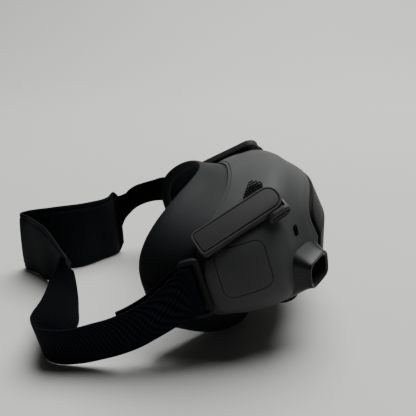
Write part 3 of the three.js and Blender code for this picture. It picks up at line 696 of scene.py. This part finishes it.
def buildVent(side, sign):
    where = mirrored(ventFrame(), sign)
    mesh = placed(lattice(vent["wide"], vent["long"], vent["cell"], 0.4, 0.7), "ventMesh_" + side,
                  where @ Matrix.Translation((0, 0, -0.8)))
    edge = placed(slab(vent["wide"] - 0.2, vent["long"] - 0.2, 2.9, -3, 3), "edge", where)
    carved(mesh, [edge], "INTERSECT")
    mesh.data.transform(upright)
    declared(mesh, "mesh", "goggles", ["vent_mesh_" + side])


for side, sign in sides.items():
    buildOutlet(side, sign)
    buildVent(side, sign)
print("outlets and vents made")


# optics
barrel = {"r": 21, "bore": 18.8, "front": -44, "back": -14}


def buildOptics(side, sign):
    at = (sign * 32, 0, -1)
    r, bore, front, back = (barrel[k] for k in ("r", "bore", "front", "back"))
    outline = [(bore, front), (r, front), (r, back - 0.6), (r - 0.5, back), (bore + 0.4, back),
               (bore, back - 0.4)]
    outline += [(bore - 0.25, y) for y in (-15.2, -16.4)] + [(bore, -16.6)]
    declared(placed(turned(outline, at), "lensBarrel_" + side), "trim", "carriage_" + side,
             ["lens_barrel_" + side])
    ring = [(16.6, -21), (18.4, -21), (18.4, -15.6), (18.0, -15.1), (17.5, -15), (16.9, -16.2), (16.6, -17)]
    declared(placed(turned(ring, at), "focusRing_" + side), "frame", "focus_" + side, ["focus_ring_" + side])
    bulge = [(16.2 * k / 12, -16.0 - 2.4 * (k / 12) ** 2) for k in range(13)]
    hollow = [(16.2 * k / 12, -21.6 + 2.6 * (k / 12) ** 2) for k in range(12, -1, -1)]
    declared(placed(turned(bulge + hollow, at), "eyeLens_" + side), "lens", "focus_" + side,
             ["eyepiece_lens_" + side])


def buildKnob(side, sign):
    r, top, bottom = knob["r"], knob["top"], knob["bottom"]
    bm = bmesh.new()
    bmesh.ops.create_cone(bm, cap_ends=True, segments=2 * knob["ribs"], radius1=r, radius2=r,
                          depth=top - bottom)
    walls = [f for f in bm.faces if abs(f.normal.z) < 0.5]
    every = sorted(walls, key=lambda f: round(degrees(f.normal.xy.angle_signed(Vector((1, 0)))), 3))[::2]
    bmesh.ops.inset_individual(bm, faces=every, thickness=0.1, depth=-0.35)
    caps = [f for f in bm.faces if abs(f.normal.z) > 0.9 and f.calc_area() > 50]
    for cap in caps:
        bmesh.ops.inset_region(bm, faces=[cap], thickness=0.5, depth=0.0)
    low = min(caps, key=lambda f: f.calc_center_median().z)
    bmesh.ops.inset_region(bm, faces=[low], thickness=0.4, depth=-0.5)
    bmesh.ops.translate(bm, vec=(sign * knob["x"], knob["y"], (top + bottom) / 2), verts=bm.verts)
    cap = placed(bm, "focusKnob_" + side)
    declared(cap, "trim", "knob_" + side, ["focus_knob_" + side])
    stem = placed(drum(knob["stem"], top - 1, -29.4, (sign * knob["x"], knob["y"], 0), (0, 0, 1), 24),
                  "knobStem_" + side)
    declared(stem, "steel", "knob_" + side, [])


for side, sign in sides.items():
    buildOptics(side, sign)
    buildKnob(side, sign)
print("optics made")


# headband
webbed = {"low": -12, "high": 13, "thick": 1.6, "square": 7}
padded = {"thick": 3.4, "square": 2.6, "seam": 0.86, "dip": 0.45}
slot = {"at": (1.9, 91.4, 20.5), "out": (-0.71, 0.535, -0.322), "up": (-0.5, -0.06, 0.86), "wide": 3.8,
        "tall": 16}
bracket = {"x": 76.1, "thick": 2.9, "y0": 3.7, "y1": 14.2, "z0": -15.2, "z1": 16.2, "arm": 2.5}


def loopStations(side):  # the webbing's turn round the bar of a bracket
    turn = [(75.1, 14.6), (75.1, 11.2), (75.9, 9.1), (77.6, 8.3), (79.4, 9.1), (80.3, 11.2), (80.3, 14)]
    back = laidOut.inverted() @ upright
    return [(back @ Vector((side * x, y, webbed["low"])),
             back @ Vector((side * x, y, webbed["high"]))) for x, y in turn]


def stations(rows):
    return [(Vector(row[:3]), Vector(row[3:])) for row in rows]


rightReturn = stations([
    (-75.8, 40.4, 9.5, -80.9, 44.5, 33.1),
    (-76, 34, 12.6, -80.8, 38.8, 36),
    (-76.1, 25, 18.2, -79.5, 30, 41.4),
    (-75.6, 16.6, 24.2, -77, 22.4, 48)])
rightRun = stations([
    (-78.7, 23, 18.7, -82.8, 29, 41),
    (-78.3, 34, 11.7, -83, 39, 34.8),
    (-77.7, 44.3, 7, -83, 48, 30.5),
    (-77, 53, 4, -83, 56, 28),
    (-76.5, 62, 1.5, -83, 64, 25.6),
    (-76, 70.5, 0.2, -82.6, 71.5, 24.4),
    (-75, 77, 0, -82, 78, 24.3),
    (-72.5, 81.6, 0, -80, 83, 24),
    (-68, 85.3, 0, -75.5, 87, 23.8),
    (-62, 86, 0, -69, 90, 23.3),
    (-55, 82, 0, -60, 91.5, 22),
    (-48, 77, 0, -50, 93, 19.5),
    (-38, 75.4, 0, -39, 94.3, 17.6),
    (-23, 79, 0, -25, 95.4, 17.6),
    (-10, 82.4, 1.4, -18.6, 95.6, 19.6),
    (-1, 85.4, 6.6, -15, 95, 21),
    (4.4, 88.2, 13, -12.2, 93.8, 22),
    (3.9, 91.2, 13.4, -7.4, 93.4, 25.4),
    (3.2, 92.6, 14, -2.9, 92, 26),
    (4.8, 91.8, 14.7, -1.1, 91.1, 26.4),
    (6.9, 90.2, 15.6, 1, 89.5, 27.4)])
leftRun = stations([
    (78, 22, 35, 73.4, 26, 57.8),
    (74.4, 32, 38.6, 65, 34.6, 59.4),
    (72, 40, 39.6, 60, 40, 58.8),
    (70.6, 48, 38, 58.8, 46, 57.4),
    (69.8, 55, 34.6, 58.8, 52.4, 55.2),
    (68.6, 60, 30, 60, 57.8, 51.6),
    (67.4, 63, 26.2, 62.4, 61.4, 48),
    (65.9, 65.7, 20, 64.6, 66.8, 45.4)])
leftReturn = stations([
    (74.6, 27, 33.4, 69.6, 30, 56),
    (75.4, 18.4, 31.6, 73, 23, 55.4)])
padRun = stations([
    (66.4, 65, 7, 64.6, 66.4, 44.6),
    (65.8, 68.4, 0, 64.6, 70.6, 48.6),
    (60, 70.5, 0, 59.5, 73.5, 46.6),
    (54.8, 74.2, 0, 54.5, 77.5, 46),
    (48.2, 80.3, 0, 49.6, 83.4, 46),
    (41.6, 86.2, 0, 45, 90, 46),
    (37, 92.5, 0, 41.8, 97, 46),
    (34.6, 99.4, 0, 39, 104, 46),
    (34, 108, 0, 37, 111, 45.6),
    (34.8, 117, 0, 35, 118.8, 45.2),
    (37, 125, 0, 32.8, 124.4, 44.8),
    (38, 131.6, 0.4, 29.6, 127.6, 44.2),
    (33.4, 128.6, 0, 26, 121.4, 43.4),
    (26.6, 119.2, 0, 19, 114, 42.4),
    (17, 109.7, 0, 12, 105.9, 40.2),
    (12.4, 101.4, 4.4, 5, 99.4, 36.2),
    (9.6, 95, 9.4, -1.6, 93.6, 31.8),
    (7.8, 89.8, 13.2, -7.6, 88.4, 27.8)])


def onStations(rows, t):
    i = min(floor(t), len(rows) - 2)
    f = t - i
    a, b, c, d = (rows[min(max(i + k, 0), len(rows) - 1)] for k in (-1, 0, 1, 2))
    def curve(p, q, r, s):
        slow = (p * 2 - q * 5 + r * 4 - s) * f * f
        return (q * 2 + (r - p) * f + slow + (q * 3 - p - r * 3 + s) * f ** 3) / 2
    return tuple(curve(a[k], b[k], c[k], d[k]) for k in (0, 1))


# a flat band with rounded rims, closed at both ends
def band(rows, thick, square, fine=8, around=32, seam=0, dip=0):
    last = len(rows) - 1
    def place(u, v):
        t = v * last
        low, high = onStations(rows, t)
        before, after = onStations(rows, max(t - 0.05, 0)), onStations(rows, min(t + 0.05, last))
        ahead = ((after[0] + after[1]) - (before[0] + before[1])).normalized()
        across = high - low
        side = ahead.cross(across.normalized()).normalized()
        c, s = cos(tau * u), sin(tau * u)
        flat = copysign(abs(c) ** 0.7, c)
        depth = copysign(max(1 - abs(flat) ** square, 0) ** (1 / square), s) if abs(s) > 1e-9 else 0
        depth *= 1 - dip * exp(-(((abs(flat) - seam) / 0.035) ** 2))
        return (low + high) / 2 + across / 2 * flat + side * (thick / 2 * depth)
    return wrapped(around, fine * last, place)


def run(rows):
    return sum(((b[0] + b[1]) - (a[0] + a[1])).length / 2 for a, b in zip(rows, rows[1:]))


def buildHeadband():
    right = rightReturn + loopStations(-1) + rightRun
    left = leftReturn + loopStations(1) + leftRun
    width = webbed["high"] - webbed["low"]
    for side, rows in (("right", right), ("left", left)):
        piece = placed(band(rows, webbed["thick"], webbed["square"], 10), "strap_" + side, laidOut, 50)
        declared(piece, webbing(side, run(rows), 2 * width), "goggles", ["strap_" + side])
    whole = band(padRun, padded["thick"], padded["square"], 10, 96, padded["seam"], padded["dip"])
    opening = slab(slot["wide"], slot["tall"], 1.2, -6, 6)
    cutter = placed(opening, "slot", laidOut @ frameAt(slot["at"], slot["out"], slot["up"]))
    piece = carved(placed(whole, "rearPad", laidOut, 60), [cutter], sharp=60)
    declared(piece, "pad", "goggles", ["rear_pad"])


def buildBracket(side, sign):
    wide, tall = bracket["y1"] - bracket["y0"], bracket["z1"] - bracket["z0"]
    middle = (sign * bracket["x"], (bracket["y0"] + bracket["y1"]) / 2, (bracket["z0"] + bracket["z1"]) / 2)
    where = upright @ frameAt(middle, (sign, 0, 0), (0, 0, 1))
    bm = slab(wide, tall, 3, 0, bracket["thick"], 0.5, bracket["arm"])
    declared(placed(bm, "strapBracket_" + side, where), "trim", "goggles", ["strap_bracket_" + side])


buildHeadband()
for side, sign in sides.items():
    buildBracket(side, sign)
print("headband made")


# what stays as the frame made it
kept = {
    "eye_panel": "trim", "main_board": "board", "heat_sink": "alloy", "fan_casing": "trim",
    "fan_rotor": "frame", "power_socket": "steel", "audio_jack": "trim", "link_button": "trim",
    "status_light": "screen", "rail_upper": "steel", "rail_lower": "steel"}
for side in sides:
    kept.update({"display_" + side: "screen", "rail_shoe_upper_" + side: "trim",
                 "rail_shoe_lower_" + side: "trim"})
for node, finish in kept.items():
    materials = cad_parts[node].data.materials
    materials.clear()
    materials.append(finishes[finish])


# floor, light and camera
overhead = {"at": (0.75, -0.55, 2.4), "aim": (0.2, -0.15, 0), "size": 2.4, "power": 138}
sweep = {"flat": 1.0, "r": 0.9, "near": 2.6, "half": 3.2, "rise": 1.4}


def buildFloor():  # flat under the goggles, then curving up into a backdrop
    bm = bmesh.new()
    bmesh.ops.create_grid(bm, x_segments=48, y_segments=2, size=1)
    total = sweep["near"] + sweep["flat"] + sweep["r"] * pi / 2 + sweep["rise"]
    for vert in bm.verts:
        run = (vert.co.x + 1) / 2 * total - sweep["near"]
        turn = min(max(run - sweep["flat"], 0) / sweep["r"], pi / 2)
        above = max(run - sweep["flat"] - sweep["r"] * pi / 2, 0)
        ahead = min(run, sweep["flat"]) + sweep["r"] * sin(turn)
        vert.co = Vector((ahead, vert.co.y * sweep["half"], sweep["r"] * (1 - cos(turn)) + above))
    maker = Maker("paperFloor")
    tone = maker.noise(3, 2.0)
    material = maker.finish({
        "Base Color": maker.blend(tone, shade(0.50, (1, 1, 0.97)), shade(0.53, (1, 1, 0.97))),
        "Roughness": 0.9,
        "Specular IOR Level": 0.1})
    piece = placed(bm, "floor", Matrix())
    piece.data.materials.append(material)


def areaLight(name, at, aim, size, power):
    lamp = bpy.data.lights.new(name, "AREA")
    lamp.shape = "DISK"
    lamp.size = size
    lamp.energy = power
    holder = bpy.data.objects.new(name, lamp)
    holder.location = at
    holder.rotation_euler = (Vector(aim) - Vector(at)).to_track_quat("-Z", "Y").to_euler()
    bpy.context.scene.collection.objects.link(holder)


buildFloor()
areaLight("overhead", **overhead)
world = bpy.data.worlds.new("studio")
world.use_nodes = True
world.node_tree.nodes["Background"].inputs[0].default_value = (0.96, 0.98, 1.0, 1)
world.node_tree.nodes["Background"].inputs[1].default_value = 0.03
bpy.context.scene.world = world

view = {"at": (-291, 0, 158.3), "down": 19.0, "focal": 500}
lens = bpy.data.cameras.new("camera")
lens.sensor_width = 36
lens.lens = 36 * view["focal"] / 416
lens.clip_start = 0.01
camera = bpy.data.objects.new("camera", lens)
camera.location = laidOut @ Vector(view["at"])
down = radians(view["down"])
camera.rotation_euler = Vector((cos(down), 0, -sin(down))).to_track_quat("-Z", "Y").to_euler()
bpy.context.scene.collection.objects.link(camera)
bpy.context.scene.camera = camera

print("scene ready")
